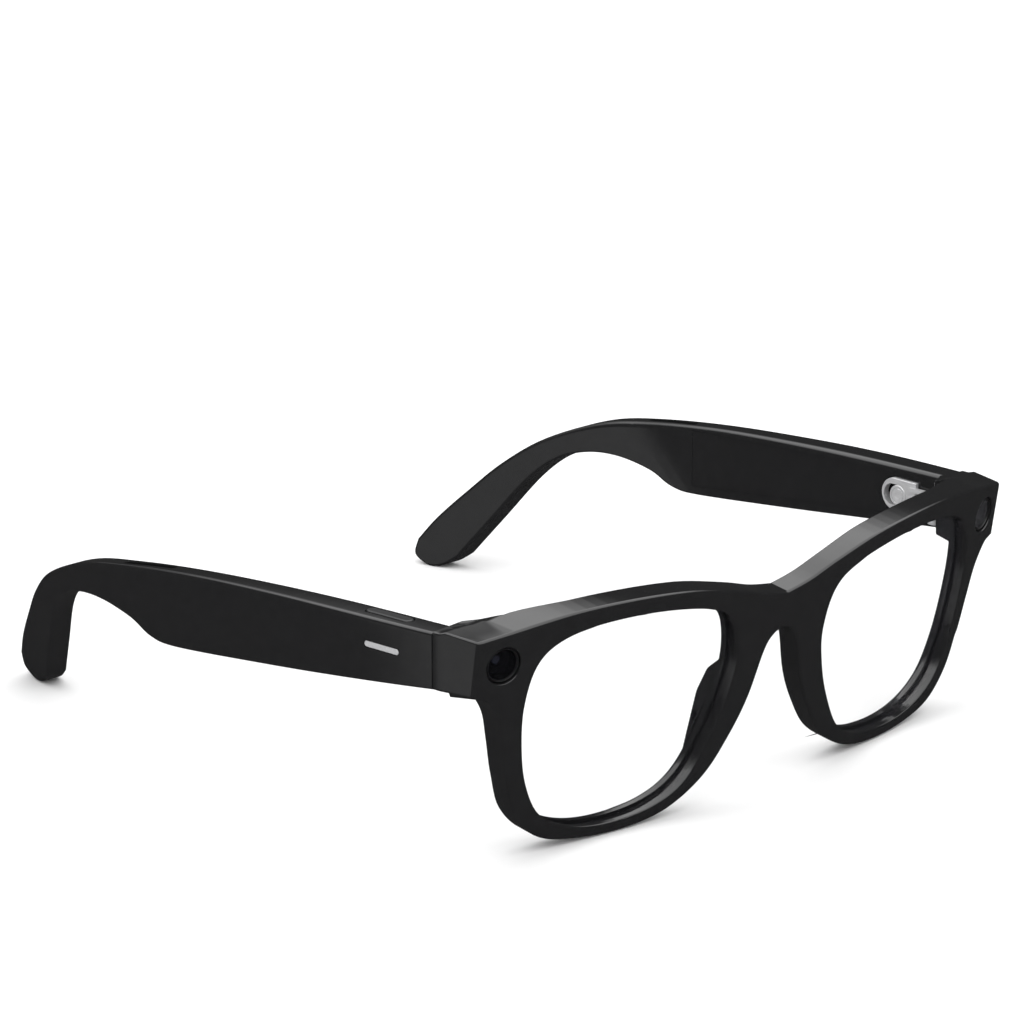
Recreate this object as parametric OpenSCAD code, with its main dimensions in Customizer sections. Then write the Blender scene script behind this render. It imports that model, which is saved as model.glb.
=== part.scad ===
// Smart glasses: camera and light in the front, electronics in two folding temples.
// Millimetres. +Z is up, the front faces -Y and +X is the wearer's left.

/* [Front] */
// Width of one lens opening
lens_w = 49; // [46:0.5:52]
// Gap between the two lens openings at their nearest
bridge_w = 23.4; // [21:0.2:26]
// Radius of the curve that the front is bowed to
bow_r = 281; // [240:5:330]
// Lean of the front: its top edge is forward of its bottom edge
tilt = 8.8; // [6:0.2:11]
// Height of the lens centre line above the ground
lens_z = 26.5; // [26:0.1:28]
// Depth of the rims, front to back
rim_t = 4.6; // [4.2:0.1:5.4]
// Depth of the brow, front to back
brow_t = 5; // [4.8:0.1:5.6]
// Thickness of the lenses
lens_t = 2; // [1.6:0.1:2.2]

/* [Windows] */
// Distance of the camera and the light from the middle
window_x = 65.4; // [64.6:0.1:65.8]
// Height of the windows above the lens centre line
window_s = 10.9; // [10.4:0.1:11.2]
// Outer diameter of a window's ring
window_d = 7; // [6.4:0.1:7.2]

/* [Temples] */
// Distance from the middle to the temple's outer face, at the seam
seam_x = 72.2; // [71.8:0.1:72.8]
// Distance from the middle to the outer face, along the straight part
side_x = 73.6; // [73.2:0.1:74.2]
// Depth of the seam behind the front
seam_y = 17; // [16.8:0.1:17.6]
// Thickness of the temple at the seam
temple_t = 6; // [5.8:0.1:6.6]
// Thickness of the ear hook
hook_t = 5; // [4.6:0.1:5.4]
// Angle that the ear hook leans inwards
hook_lean = 20; // [14:1:24]
// Radius of the bend between the temple and the hook
hook_bend_r = 94; // [80:2:110]

/* [Hinges] */
// Radius of the hinge pin
pin_r = 0.7; // [0.6:0.05:0.8]
// Outer radius of the hinge knuckles
knuckle_r = 1.7; // [1.6:0.05:1.8]
// How many knuckles share the pin, front and temple together
knuckles = 7; // [5:2:7]
// Height of the whole row of knuckles
hinge_h = 6.5; // [5.5:0.5:7]
// Radial running clearance of the moving leaf on its pin
running_gap = 0.04; // [0.02:0.01:0.08]

/* [Controls] */
// Length of the capture button
button_l = 11; // [9:0.5:12]
// Width of the capture button
button_w = 2.4; // [2:0.1:2.6]
// Height that the button stands above the temple
button_up = 0.6; // [0.5:0.1:0.9]
// Diameter of the power switch cap
switch_d = 4.3; // [3.8:0.1:4.4]
// Travel of the power switch
switch_travel = 1.6; // [1:0.1:1.8]

/* [Hidden] */
$fn = 96;
overlap = 0.01;
back_y = 74.68;                       // the front's own origin sits this far ahead of the middle
lens_cx = (bridge_w + lens_w) / 2;    // middle of a lens opening
pin_x = seam_x - temple_t - 1.6;
pin_y = seam_y + 0.2;
hinge_z = 37.7;
end_top = 43.8;                       // height of the end pieces at the seam
cover_t = 1;
cavity_t = 2.9;                       // room inside the temple, outside the inner cover
inner_slope = 2.18;                   // the inner face opens outwards by this angle
hook_dir = 48;                        // the hook points this far below the horizontal
hook_s = 36;                          // distance along the hook's direction where it bends
front_black = [0.03, 0.03, 0.035];
case_black = [0.05, 0.05, 0.055];
steel = [0.7, 0.71, 0.73];
gold = [0.83, 0.68, 0.36];
board_green = [0.08, 0.22, 0.14];
glass_clear = [0.8, 0.82, 0.86, 0.35];

// A smooth closed or open curve through a few points.
function mid4(p, t) = 0.5 * ((2 * p[1]) + (p[2] - p[0]) * t
    + (2 * p[0] - 5 * p[1] + 4 * p[2] - p[3]) * t * t
    + (3 * p[1] - p[0] - 3 * p[2] + p[3]) * t * t * t);
function pick(p, i, closed) = closed ? p[(i + len(p)) % len(p)] : p[min(max(i, 0), len(p) - 1)];
function curve(p, steps = 6, closed = false) =
    [for (i = [0:len(p) - (closed ? 1 : 2)], k = [0:steps - 1])
        mid4([for (j = [-1:2]) pick(p, i + j, closed)], k / steps),
     if (!closed) p[len(p) - 1]];
function flipped(p) = [for (i = [len(p) - 1:-1:0]) [-p[i][0], p[i][1]]];

// Outline of the left lens opening, as offsets from its middle for a 49 mm lens.
lens_points = [[-24.4, 2.5], [-23.3, -4.5], [-20.4, -12], [-15.3, -20], [-8.2, -23.7], [2, -24.9],
               [11, -23.8], [17.9, -20.2], [22, -13.5], [24, -5.5], [24.5, 2.5],
               [23, 10], [18.3, 13.9], [9.8, 15.6], [-3.2, 15.6], [-16.2, 13.6], [-22.3, 10]];
// Half outline of the front: brow line, then the side, the rim and the bridge's underside.
brow_points = [[0, 12.8], [6, 13.9], [13.5, 16], [25, 18.3], [38, 19.2], [51, 18.9], [63.5, 17.2], [70.8, 16]];
rim_points = [[70.8, 5.3], [67.6, 4.2], [65, 0.2], [63.4, -5.5], [61.6, -12], [58.4, -18.8], [52.6, -24.3],
              [44, -26.8], [34, -26.9], [25, -25], [17, -20.2], [11.6, -13.4], [8, -6.5], [5, 2.3], [2.5, 4.9], [0, 5.5]];
// Side outline of a temple, distance behind the front and height.
top_points = [[seam_y, 43.6], [40, 43], [60, 42], [80, 40.5], [98, 38.3], [112, 35.6], [125.4, 30.2],
              [134.4, 23.9], [141.4, 17], [147.5, 10.4], [151.2, 5.2]];
tip_points = [[151.2, 5.2], [151.2, 1.9], [147.4, 0.058], [143.8, 0.7], [140.6, 2.9]];
low_points = [[140.6, 2.9], [134.4, 11.6], [127.3, 21.5], [121.2, 26.7], [114, 29.1], [106, 29.5], [97.5, 28.1],
              [91.6, 25.8], [84, 25.5], [60, 28], [38, 30.6], [seam_y, 33.1]];

module at_rest() translate([0, -back_y, 0]) children();
module in_front() at_rest() translate([0, 0, lens_z]) rotate([tilt, 0, 0]) children();
module right_side() mirror([1, 0, 0]) children();

// The left or the right copy of a shape that is written for the left side.
module side(which) if (which == "left") children(); else mirror([1, 0, 0]) children();

// A slab that follows the bow of the front, from depth a to depth b, cut to an outline.
module bowed(a, b, h = 90) {
    difference() {
        translate([0, bow_r, -h / 2]) cylinder(r = bow_r - a, h = h, $fn = 360);
        translate([0, bow_r, -h / 2 - 1]) cylinder(r = bow_r - b, h = h + 2, $fn = 360);
        translate([-bow_r, 40, -h]) cube([2 * bow_r, 2 * bow_r, 2 * h]);
    }
}
module punched(depth = 60) rotate([90, 0, 0]) linear_extrude(depth, center = true) children();

module lens_outline(grow = 0) {
    k = (lens_w / 2 + grow) / 24.5;
    polygon(curve([for (p = lens_points) [lens_cx + k * p[0], k * p[1]]], closed = true));
}
module front_outline() {
    half = concat(curve(brow_points), curve(rim_points));
    polygon(concat(half, flipped(half)));
}
module brow_outline() {
    low = curve([[66, 5.3], [61.5, 11.2], [54.5, 14.9], [40, 16.8], [23.5, 15.2], [13, 10.8], [6, 8.6], [0, 8]]);
    half = concat(curve(brow_points), low);
    polygon(concat(half, flipped(half)));
}

// A window's own frame, for the left side: z = 0 lies on the bowed face and +z points out of it.
module window_place() {
    d = bow_r - sqrt(bow_r * bow_r - window_x * window_x);
    in_front() translate([window_x, d, window_s]) rotate([0, 0, asin(window_x / bow_r)]) rotate([90, 0, 0])
        children();
}

// Plan shape of the end piece: it wraps from the front face round to the seam.
module end_plan() {
    back = seam_y - 0.15;
    polygon([[58.5, 2], [seam_x - 1.9, 2], [seam_x - 1.3, 8], [seam_x, back],
             [seam_x - 7.4, back], [62.8, 15.6], [60.6, 15.2], [58.5, 12.4]]);
}
// What stands above the brow line towards the seam is trimmed off.
module brow_trim() at_rest() translate([0, 40, 0]) rotate([90, 0, 0]) linear_extrude(80)
    polygon(concat(curve([[48, 47.6], [56, 46.2], [63.5, 44.7], [72, 43.8], [80, 43.7]]), [[80, 60], [48, 60]]));
module end_piece() {
    intersection() {
        at_rest() linear_extrude(end_top) end_plan();
        in_front() translate([40, -2, 5.3]) cube([40, 30, 14]);
        in_front() translate([0, bow_r, -20]) cylinder(r = bow_r, h = 60, $fn = 360);
    }
}
module hinge_recess(r, dz) {
    at_rest() translate([pin_x, pin_y, hinge_z - hinge_h / 2 - dz]) cylinder(r = r, h = hinge_h + 2 * dz);
}

module front_frame() color(front_black) difference() {
    union() {
        in_front() intersection() {
            bowed(0, rim_t);
            punched() front_outline();
        }
        in_front() intersection() {
            bowed(0, brow_t);
            punched() brow_outline();
        }
        end_piece();
        right_side() end_piece();
    }
    for (s = ["left", "right"]) side(s) {
        in_front() punched() lens_outline();
        in_front() intersection() {
            bowed(1.1, 1.1 + lens_t);
            punched() lens_outline(0.8);
        }
        window_place() translate([0, 0, -6.7]) cylinder(d = window_d, h = 12);
        hinge_recess(knuckle_r + 0.3, 0.3);
        brow_trim();
        front_leaf_plate(0.02);
        at_pin() translate([0, -1.62, -hinge_h / 2]) cube([2.2, 1.24, hinge_h]);
    }
    cable_channel(0.1);
    contact_seat();
}

module lens(which) color(glass_clear) in_front() side(which) intersection() {
    bowed(1.1, 1.1 + lens_t);
    punched() lens_outline(0.78);
}
module left_lens() lens("left");
module right_lens() lens("right");

// A pad of the bridge: a rounded wedge behind the rim, beside the nose.
module nose_pad() in_front() hull() {
    translate([8.6, 4.6, -0.6]) sphere(r = 1.5, $fn = 28);
    translate([10.4, 7, -3.6]) sphere(r = 1.3, $fn = 28);
    translate([11.9, 7.4, -7.5]) sphere(r = 1.3, $fn = 28);
    translate([14.2, 6.2, -12.6]) sphere(r = 1.3, $fn = 28);
    translate([17.2, 4.4, -17]) sphere(r = 1.3, $fn = 28);
}
module trimmed_pad() difference() {
    nose_pad();
    in_front() bowed(-5, rim_t + 0.01);
    in_front() punched() lens_outline(-0.2);
}
module microphone_place() right_side() in_front() translate([13.4, 6.1, -11.2]) children();
module left_nose_pad() color(front_black) trimmed_pad();
module right_nose_pad() color(front_black) difference() {
    right_side() trimmed_pad();
    microphone_place() translate([-0.9, -0.45, -1.1]) cube([3, 0.9, 2.2]);
}
module nose_microphone() color(steel) microphone_place()
    translate([-0.88, -0.43, -1.08]) cube([0.5, 0.86, 2.16]);

// A flat cable runs through the brow from one pocket to the other.
module cable_channel(gap) in_front() intersection() {
    bowed(4.2 - gap, 4.4 + gap);
    punched() {
        half = concat(curve([[0, 11.6], [13.5, 14.8], [25, 17.4], [38, 18.2], [51, 17.9], [59, 16], [61.7, 13]]),
                      curve([[61.7, 11.4], [59, 14.6], [51, 16.6], [38, 17], [25, 16.1], [13.5, 13.4], [0, 10.1]]));
        polygon(concat(half, flipped(half)));
    }
}
module front_cable() color(gold) cable_channel(0);

// Camera on the wearer's right, light on the wearer's left.
module ring(d, bore, z, h) difference() {
    translate([0, 0, z]) cylinder(d = d, h = h);
    translate([0, 0, z - 1]) cylinder(d = bore, h = h + 2);
}
module bezel() window_place() ring(window_d - 0.04, window_d - 1.1, -2.4, 2.1);
module camera_bezel() color([0.02, 0.02, 0.02]) right_side() bezel();
module light_bezel() color([0.02, 0.02, 0.02]) bezel();
module camera_window() color([0.1, 0.11, 0.13, 0.6]) right_side() window_place()
    translate([0, 0, -1.4]) cylinder(d = window_d - 1.14, h = 0.7);
module light_window() color([0.75, 0.77, 0.8, 0.6]) window_place()
    translate([0, 0, -1.4]) cylinder(d = window_d - 1.14, h = 0.7);
module camera_barrel() color([0.06, 0.06, 0.07]) right_side() window_place()
    ring(5, 2.7, -5.4, 2.9);
module camera_lens() color([0.3, 0.35, 0.5, 0.5]) right_side() window_place()
    translate([0, 0, -5.2]) intersection() {
        cylinder(d = 2.66, h = 2.4);
        translate([0, 0, -0.6]) sphere(r = 2.9);
    }
module camera_board() color(board_green) right_side() window_place()
    translate([-2.4, -2.4, -6.2]) cube([4.8, 4.8, 0.76]);
module light_dome() color([0.9, 0.9, 0.88, 0.8]) window_place() translate([0, 0, -4.4]) intersection() {
    cylinder(d = 4.6, h = 2.6);
    sphere(r = 2.6);
}
module light_board() color(board_green) window_place()
    translate([-2.4, -2.4, -5.2]) cube([4.8, 4.8, 0.76]);

// Two charging contacts in a holder on the underside of the bridge.
module contact_seat() in_front() translate([-3.6, 1.5, 3]) cube([7.2, 2.4, 4.6]);
module contact_holder() color(case_black) in_front() difference() {
    translate([-3.55, 1.55, 5.2]) cube([7.1, 2.3, 2.35]);
    for (x = [-1.9, 1.9]) translate([x, 2.7, 4]) cylinder(d = 1.8, h = 2.2);
}
module contact(x) color(gold) in_front() translate([x, 2.7, 4.9]) cylinder(d = 1.76, h = 1.28);
module left_contact() contact(1.9);
module right_contact() contact(-1.9);

// Hinge: the front leaf carries every other knuckle, from the lowest up, and holds the pin.
knuckle_h = hinge_h / knuckles;
module knuckle(i, bore) difference() {
    knuckle_layer(i) cylinder(r = knuckle_r, h = 2 * hinge_h, center = true);
    cylinder(r = bore, h = 2 * hinge_h, center = true);
}
// Cuts its children to the height of one knuckle.
module knuckle_layer(i) intersection() {
    translate([-20, -20, (i - knuckles / 2) * knuckle_h + 0.05]) cube([40, 40, knuckle_h - 0.1]);
    children();
}
module web(i) knuckle_layer(i) difference() {
    children();
    cylinder(r = knuckle_r - 0.1, h = 2 * hinge_h, center = true);
}
module at_pin() at_rest() translate([pin_x, pin_y, hinge_z]) children();
module front_leaf_plate(gap) at_pin()
    translate([1.95 - gap, -1.6 - gap, -hinge_h / 2 - gap]) cube([4.6 + 2 * gap, 1.2 + 2 * gap, hinge_h + 2 * gap]);
module front_hinge() {
    front_leaf_plate(0);
    at_pin() for (i = [0:2:knuckles - 1]) {
        knuckle(i, pin_r);
        web(i) translate([0, -1.6, -5]) cube([2.1, 1.2, 10]);
    }
}
module left_front_hinge() color(steel) front_hinge();
module right_front_hinge() color(steel) right_side() front_hinge();
module hinge_pin() at_pin() translate([0, 0, -hinge_h / 2 - 0.15]) cylinder(r = pin_r, h = hinge_h + 0.3);
module left_hinge_pin() color([0.55, 0.56, 0.58]) hinge_pin();
module right_hinge_pin() color([0.55, 0.56, 0.58]) right_side() hinge_pin();

// Temple shell: a side outline cut from a straight bar that bends into the hook.
module temple_side() at_rest() translate([100, 0, 0]) rotate([90, 0, -90])
    linear_extrude(100) mirror([1, 0]) polygon(concat(curve(top_points), curve(tip_points), curve(low_points)));
// Plan of the straight part: the outer face eases out from the seam.
module straight_bar() at_rest() linear_extrude(60) {
    x0 = seam_x - temple_t;
    r = 363;
    ease = [for (y = [seam_y:4:49]) [side_x - (50 - y) * (50 - y) / (2 * r) * (side_x - seam_x) / 1.5, y]];
    polygon(concat([[x0, seam_y]], ease, [[side_x, 50], [side_x, 82], [x0 + 65 * tan(inner_slope), 82]]));
}
// The bar that bends inwards, seen along the axis of its bend.
module bent_bar() {
    r = hook_bend_r;
    turn = [for (a = [0:2:hook_lean]) [side_x - r * (1 - cos(a)), hook_s + r * sin(a)]];
    inner = [for (a = [hook_lean:-2:0])
        [side_x - r + (r - hook_t) * cos(a), hook_s + (r - hook_t) * sin(a)]];
    far = 60;
    out = turn[len(turn) - 1];
    in = inner[0];
    at_rest() rotate([-hook_dir, 0, 0]) linear_extrude(300, center = true)
        polygon(concat([[side_x, 8]], turn,
            [[out[0] - far * sin(hook_lean), out[1] + far * cos(hook_lean)],
             [in[0] - far * sin(hook_lean), in[1] + far * cos(hook_lean)]],
            inner, [[side_x - hook_t, 8]]));
}
module along_temple() at_rest() translate([seam_x - temple_t, seam_y, 0]) rotate([0, 0, -inner_slope]) children();

// The space inside: depth range d0..d1 from the inner face, length y0..y1, inset from the outline.
module inside_outline(y0, y1, inset) along_temple() rotate([90, 0, 90]) linear_extrude(20, center = true)
    polygon([[y0, 33.42 + inset - y0 * 0.112], [y1, 33.42 + inset - y1 * 0.112],
             [y1, 43.4 - inset - y1 * 0.043], [y0, 43.8 - inset - y0 * 0.043]]);
module temple_slab(d0, d1, y0, y1, inset) intersection() {
    along_temple() translate([d0, y0 - 5, 0]) cube([d1 - d0, y1 - y0 + 10, 60]);
    inside_outline(y0, y1, inset);
}

module temple_shell(which) color(front_black) difference() {
    side(which) difference() {
        intersection() {
            temple_side();
            union() {
                straight_bar();
                bent_bar();
            }
        }
        temple_slab(-3, cover_t, 15.8, 69, 1.35);
        temple_slab(cover_t - overlap, cover_t + cavity_t, 7.5, 68, 2.2);
        hinge_recess(knuckle_r + 0.3, 0.3);
        temple_leaf_plate(0.02);
        vent();
        speaker_duct();
        badge_shape(0.02);
    }
    if (which == "right") button_slot();
    if (which == "left") switch_window(2.5);
}
module left_temple_shell() temple_shell("left");
module right_temple_shell() temple_shell("right");

module inner_cover() color(case_black) temple_slab(0, cover_t - 0.02, 15.85, 68.95, 1.4);
module left_inner_cover() inner_cover();
module right_inner_cover() right_side() inner_cover();

// Temple leaf: a flat plate with a round rear end, let into the inner face, and fins out to the pin.
module temple_leaf_plate(gap) along_temple() translate([-0.8, 0, hinge_z]) rotate([90, 0, 90])
    translate([0, 0, -gap]) linear_extrude(1.4 + 2 * gap) {
        translate([6.5 - gap, -hinge_h / 2 - gap]) square([5.7 + gap, hinge_h + 2 * gap]);
        translate([12.2, 0]) circle(r = hinge_h / 2 + gap);
    }
module temple_hinge() difference() {
    union() {
        temple_leaf_plate(0);
        at_pin() for (i = [1:2:knuckles - 1]) {
            knuckle(i, pin_r + running_gap);
            web(i) translate([0.6, 0, -5]) cube([0.9, 6.9, 10]);
        }
    }
    for (z = [-1.8, 1.8]) along_temple() translate([-2, 7.6, hinge_z + z]) rotate([0, 90, 0]) cylinder(r = 0.5, h = 6);
}
module left_temple_hinge() color(steel) difference() {
    temple_hinge();
    switch_window(0);
}
module right_temple_hinge() color(steel) right_side() temple_hinge();
module hinge_screws() for (z = [-1.8, 1.8])
    along_temple() translate([-0.7, 7.6, hinge_z + z]) rotate([0, 90, 0]) cylinder(r = 0.48, h = 1.28);
module left_hinge_screws() color(steel) hinge_screws();
module right_hinge_screws() color(steel) right_side() hinge_screws();

// A plain metal bar inlaid in the outer face.
module badge_shape(gap) at_rest() translate([seam_x + 0.42, seam_y + 12, 38.2]) rotate([90, 0, 87])
    translate([0, 0, -0.3 - gap]) linear_extrude(1.2) hull() for (x = [-3.6, 3.6])
        translate([x, 0]) circle(r = 0.55 + gap, $fn = 24);
module left_badge() color(steel) intersection() { badge_shape(0); badge_limit(); }
module right_badge() color(steel) right_side() intersection() { badge_shape(0); badge_limit(); }
module badge_limit() intersection() {
    temple_side();
    straight_bar();
}

// Vent slot in the top face behind the housing, with a grille, and the duct from the speaker.
module vent_bar(gap) along_temple() translate([1.3 + gap, 70 + gap, 30]) cube([1.5 - 2 * gap, 14 - 2 * gap, 20]);
module vent() difference() {
    vent_bar(0);
    translate([0, 0, -1.6]) temple_side();
}
module speaker_grille() difference() {
    intersection() {
        vent_bar(0.02);
        translate([0, 0, -0.8]) temple_side();
    }
    translate([0, 0, -1.4]) temple_side();
}
module speaker_duct() along_temple() translate([1.5, 66, 37.2]) cube([1.1, 6, 1.3]);
module left_speaker_grille() color([0.12, 0.12, 0.13]) speaker_grille();
module right_speaker_grille() color([0.12, 0.12, 0.13]) right_side() speaker_grille();

// A block inside the housing, centred on the temple's own middle line.
module inside(x, y, size) along_temple() translate([x, y, 38.3 - 0.082 * y]) rotate([-4.7, 0, 0])
    translate([0, 0, -size[2] / 2]) cube(size);
module speaker() inside(cover_t + 0.1, 54, [2.6, 12, 8]);
module left_speaker() color([0.15, 0.15, 0.16]) speaker();
module right_speaker() color([0.15, 0.15, 0.16]) right_side() speaker();
module microphone() inside(cover_t + 0.1, 17, [1.2, 2.6, 2]);
module left_microphone() color(steel) microphone();
module right_microphone() color(steel) right_side() microphone();
module left_battery() color([0.55, 0.56, 0.58]) inside(cover_t + 0.15, 22, [2.5, 30, 6.4]);
module right_battery() color([0.55, 0.56, 0.58]) right_side() inside(cover_t + 0.15, 43, [2.5, 10, 6.4]);
module main_board() color(board_green) right_side() inside(cover_t + 0.1, 20.5, [0.6, 21, 6.2]);
module processor_shield() color(steel) right_side() inside(cover_t + 0.75, 24, [1, 9, 4.6]);
module touch_strip() color(gold) right_side() inside(cover_t + 2.5, 18, [0.3, 23, 5]);

// Capture button: a raised bar in a slot in the top of the wearer's right temple.
module at_button() right_side() along_temple() translate([3.1, 13.2, 42.95]) rotate([-0.9, 0, 0]) children();
module stadium(l, w) hull() for (y = [-1, 1]) translate([0, y * (l - w) / 2]) circle(d = w, $fn = 32);
module button_slot() at_button() {
    translate([0, 0, -1.4]) linear_extrude(4) stadium(button_l + 0.4, button_w + 0.4);
    translate([0, 0, -3]) linear_extrude(3) stadium(button_l - 4, button_w - 1);
}
module capture_button() color([0.16, 0.16, 0.17]) at_button() {
    translate([0, 0, -0.75]) linear_extrude(button_up + 0.75) stadium(button_l, button_w);
    translate([0, 0, -1.6]) cylinder(d = 1, h = 1);
}
module button_switch() color(steel) at_button()
    translate([-1.1, -1.6, -3.4]) cube([1.9, 3.2, 1.2]);

// Power switch: a round cap that slides in a slot of the wearer's left hinge plate.
module at_switch() along_temple() translate([-0.8, 11.1, hinge_z - 0.1]) rotate([0, -90, 0]) children();
module switch_window(room) at_switch() translate([0, 0, -3]) linear_extrude(5) hull() for (y = [0, switch_travel])
    translate([0, y]) circle(d = switch_d + room, $fn = 48);
module power_switch() color(steel) at_switch() {
    translate([0, 0, -1.3]) cylinder(d = switch_d - 0.1, h = 1.45);
    translate([0, 0, -2.4]) cylinder(d = 1.4, h = 1.2);
}
module switch_board() color(board_green) at_switch()
    translate([-2.3, -2.4, -3.3]) cube([4.6, 6.4, 0.6]);

front_frame();
left_lens();
right_lens();
left_nose_pad();
right_nose_pad();
front_cable();
camera_bezel();
camera_window();
camera_barrel();
camera_lens();
camera_board();
light_bezel();
light_window();
light_dome();
light_board();
nose_microphone();
contact_holder();
left_contact();
right_contact();
left_front_hinge();
right_front_hinge();
left_hinge_pin();
right_hinge_pin();
left_temple_shell();
right_temple_shell();
left_inner_cover();
right_inner_cover();
left_temple_hinge();
right_temple_hinge();
left_hinge_screws();
right_hinge_screws();
left_badge();
right_badge();
left_speaker();
right_speaker();
left_speaker_grille();
right_speaker_grille();
left_microphone();
right_microphone();
left_battery();
right_battery();
main_board();
processor_shield();
touch_strip();
button_switch();
capture_button();
switch_board();
power_switch();
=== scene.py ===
"""Smart glasses: the visible shells, lenses and small parts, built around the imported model."""

import math

import bmesh
import bpy
from mathutils import Matrix, Vector


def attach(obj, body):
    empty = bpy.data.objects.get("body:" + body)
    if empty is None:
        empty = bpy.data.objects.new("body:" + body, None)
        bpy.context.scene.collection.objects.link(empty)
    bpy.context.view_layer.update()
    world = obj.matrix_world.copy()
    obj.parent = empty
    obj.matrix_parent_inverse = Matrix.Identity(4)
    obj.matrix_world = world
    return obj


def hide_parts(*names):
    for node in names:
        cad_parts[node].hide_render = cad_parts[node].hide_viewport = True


bl_info = {
    "name": "Smart glasses",
    "version": (1, 0, 0),
    "blender": (4, 5, 0),
    "location": "3D View > Sidebar > Glasses",
    "description": "Builds the shells, lenses and small parts of a pair of smart glasses",
    "category": "Object",
}

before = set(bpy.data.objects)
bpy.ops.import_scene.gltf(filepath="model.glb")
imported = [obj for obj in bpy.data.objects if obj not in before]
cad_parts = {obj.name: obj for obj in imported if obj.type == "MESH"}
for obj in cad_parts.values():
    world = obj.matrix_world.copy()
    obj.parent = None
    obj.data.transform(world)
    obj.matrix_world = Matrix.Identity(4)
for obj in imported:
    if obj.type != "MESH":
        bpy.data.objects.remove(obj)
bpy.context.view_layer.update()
MM = 0.001

# Outlines in millimetres, as (across, up). The lens points are offsets from the lens's middle.
LENS = [(-24.4, 2.5), (-23.3, -4.5), (-20.4, -12), (-15.3, -20), (-8.2, -23.7), (2, -24.9), (11, -23.8),
        (17.9, -20.2), (21.7, -13.5), (23.5, -5.5), (23.9, 2.5), (22.2, 9.8), (17.8, 13.7), (9.8, 15.5),
        (-3.2, 15.6), (-16.2, 13.6), (-22.3, 10)]
BROW = [(0, 12.8), (6, 13.9), (13.5, 16), (25, 18.3), (38, 19.2), (51, 18.9), (63.5, 17.2), (71.9, 15.8)]
RIM = [(70.9, 5.3), (69.4, 4.9), (67.6, 4.1), (65, 0.2), (63.4, -5.5), (61.7, -12.3), (59, -19.8), (53.2, -25.1),
       (44, -26.9), (33.4, -27), (24.3, -25.3), (16.2, -20.5), (10.8, -13.6), (7.1, -6.7), (4.3, 2.1), (2.2, 4.8),
       (0, 5.5)]
# Side outline of a temple, as (behind the front, up).
TOP = [(17, 43.6), (40, 43), (60, 42), (80, 40.5), (98, 38.3), (112, 35.6), (125.4, 30.2), (134.4, 23.9),
       (141.4, 17), (147.5, 10.4), (151.2, 5.2)]
TIP = [(151.2, 5.2), (151.2, 1.9), (147.4, 0.058), (143.8, 0.7), (140.6, 2.9)]
LOW = [(140.6, 2.9), (134.4, 11.6), (127.3, 21.5), (121.2, 26.7), (114, 29.1), (106, 29.5), (97.5, 28.1),
       (91.6, 25.8), (84, 25.5), (60, 28), (38, 30.6), (17, 33.1)]


class GlassesShape(bpy.types.PropertyGroup):
    """Sizes in millimetres and angles that the shells are built from"""

    bow_radius: bpy.props.FloatProperty(name="Bow radius", description="Radius that the front is bowed to", default=281)
    tilt: bpy.props.FloatProperty(
        name="Tilt", description="Lean of the front", default=math.radians(8.8), subtype="ANGLE")
    lens_height: bpy.props.FloatProperty(
        name="Lens height", description="Lens centre line above the ground", default=26.5)
    lens_middle: bpy.props.FloatProperty(
        name="Lens middle", description="Distance of a lens's middle from the nose", default=36.2)
    lens_thickness: bpy.props.FloatProperty(name="Lens thickness", description="Thickness of a lens", default=2)
    front_depth: bpy.props.FloatProperty(name="Front depth", description="Depth of the rims and brow", default=4.9)
    front_offset: bpy.props.FloatProperty(
        name="Front offset", description="How far the front's origin is ahead of the middle", default=74.68)
    seam_out: bpy.props.FloatProperty(name="Seam width", description="Middle to outer face at the seam", default=72.2)
    seam_back: bpy.props.FloatProperty(name="Seam depth", description="Depth of the seam behind the front", default=17)
    side_out: bpy.props.FloatProperty(name="Side width", description="Middle to outer face of a temple", default=73.6)
    temple_thickness: bpy.props.FloatProperty(
        name="Temple thickness", description="Thickness of a temple at the seam", default=6)
    hook_thickness: bpy.props.FloatProperty(
        name="Hook thickness", description="Thickness of the ear hook", default=5)
    inner_slope: bpy.props.FloatProperty(
        name="Inner slope", description="Angle of the inner face", default=math.radians(2.18), subtype="ANGLE")
    hook_direction: bpy.props.FloatProperty(
        name="Hook direction", description="The hook points this far down", default=math.radians(48), subtype="ANGLE")
    hook_lean: bpy.props.FloatProperty(
        name="Hook lean", description="The hook leans this far inwards", default=math.radians(20), subtype="ANGLE")
    hook_start: bpy.props.FloatProperty(name="Hook start", description="Where the hook begins to bend", default=36)
    hook_radius: bpy.props.FloatProperty(name="Hook radius", description="Radius of the hook's bend", default=94)
    window_out: bpy.props.FloatProperty(name="Window place", description="Middle to a window's centre", default=65.4)
    window_up: bpy.props.FloatProperty(
        name="Window height", description="Window above the lens centre line", default=10.9)
    end_underside: bpy.props.FloatProperty(
        name="End underside", description="Height of the end pieces' level underside", default=33.1)
    hinge_height: bpy.props.FloatProperty(name="Hinge height", description="Middle of the hinge", default=37.7)


class GlassesColours(bpy.types.PropertyGroup):
    """Colours of the finishes"""

    shell: bpy.props.FloatVectorProperty(
        name="Shell", description="Polished plastic", default=(0.013, 0.013, 0.0135), subtype="COLOR", size=3)
    lens: bpy.props.FloatVectorProperty(
        name="Lens", description="Tint of the clear lenses", default=(0.1, 0.1, 0.12), subtype="COLOR", size=3)
    metal: bpy.props.FloatVectorProperty(
        name="Metal", description="Hinges and switch", default=(0.72, 0.72, 0.73), subtype="COLOR", size=3)
    floor: bpy.props.FloatVectorProperty(
        name="Floor", description="Pale floor", default=(0.9, 0.9, 0.9), subtype="COLOR", size=3)


# ---------------------------------------------------------------- modelling helpers

def shape():
    return bpy.context.scene.glasses_shape


def colours():
    return bpy.context.scene.glasses_colours


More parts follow.
